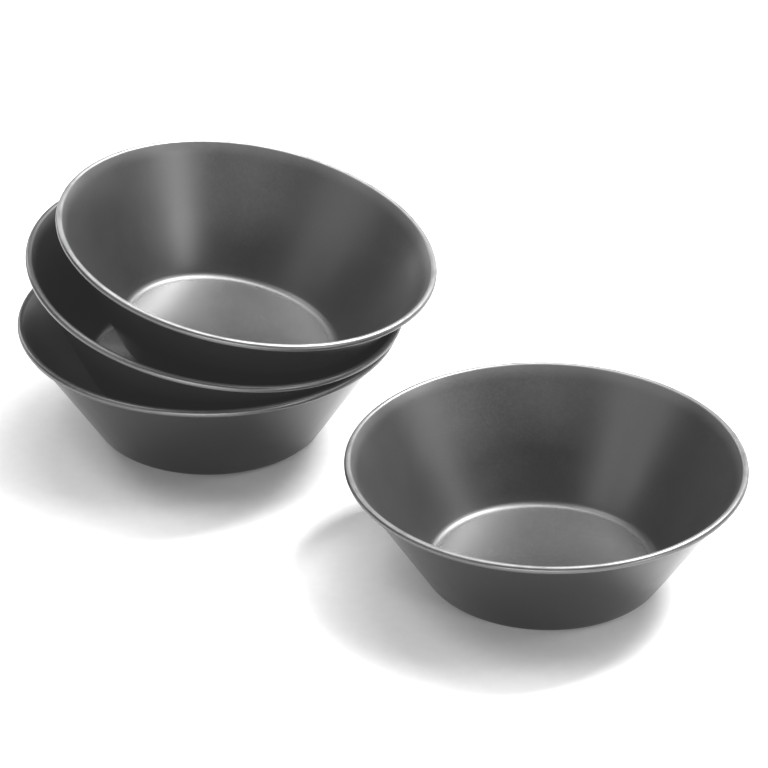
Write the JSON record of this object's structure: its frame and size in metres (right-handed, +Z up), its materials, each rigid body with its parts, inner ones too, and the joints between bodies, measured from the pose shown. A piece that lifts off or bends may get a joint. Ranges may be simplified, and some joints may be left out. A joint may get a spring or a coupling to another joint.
{
  "type": "custard tart mould set",
  "caption": "Round flared custard tart moulds in dark coated steel with a curled rim, some nested askew in a stack and one standing beside it.",
  "frame": {"origin": "centre of the set's footprint, on the surface that it stands on", "axes": "+Z up from that surface, +X from the stack's side towards the side of the mould that stands by itself, seen from the front, and +Y to the back"},
  "size_m": [0.1398, 0.1294, 0.0477],
  "materials": {
    "coated_steel": "satin dark grey baked non-stick coating on pressed sheet steel, worn bright along the curled rim"
  },
  "bodies": {
    "stack_bottom": {"stack_bottom_mould": "coated_steel"},
    "stack_middle": {"stack_middle_mould": "coated_steel"},
    "stack_top": {"stack_top_mould": "coated_steel"},
    "standing": {"standing_mould": "coated_steel"}
  },
  "joints": [
    {"name": "middle_mould_lift", "type": "slide", "parent": "stack_bottom", "child": "stack_middle", "axis": [0, 0, 1], "range_m": [0, 0.04]},
    {"name": "top_mould_lift", "type": "slide", "parent": "stack_middle", "child": "stack_top", "axis": [0, 0, 1], "range_m": [0, 0.04]},
    {"name": "standing_mould_lift", "type": "slide", "parent": "stack_bottom", "child": "standing", "axis": [0, 0, 1], "range_m": [0, 0.04]}
  ]
}
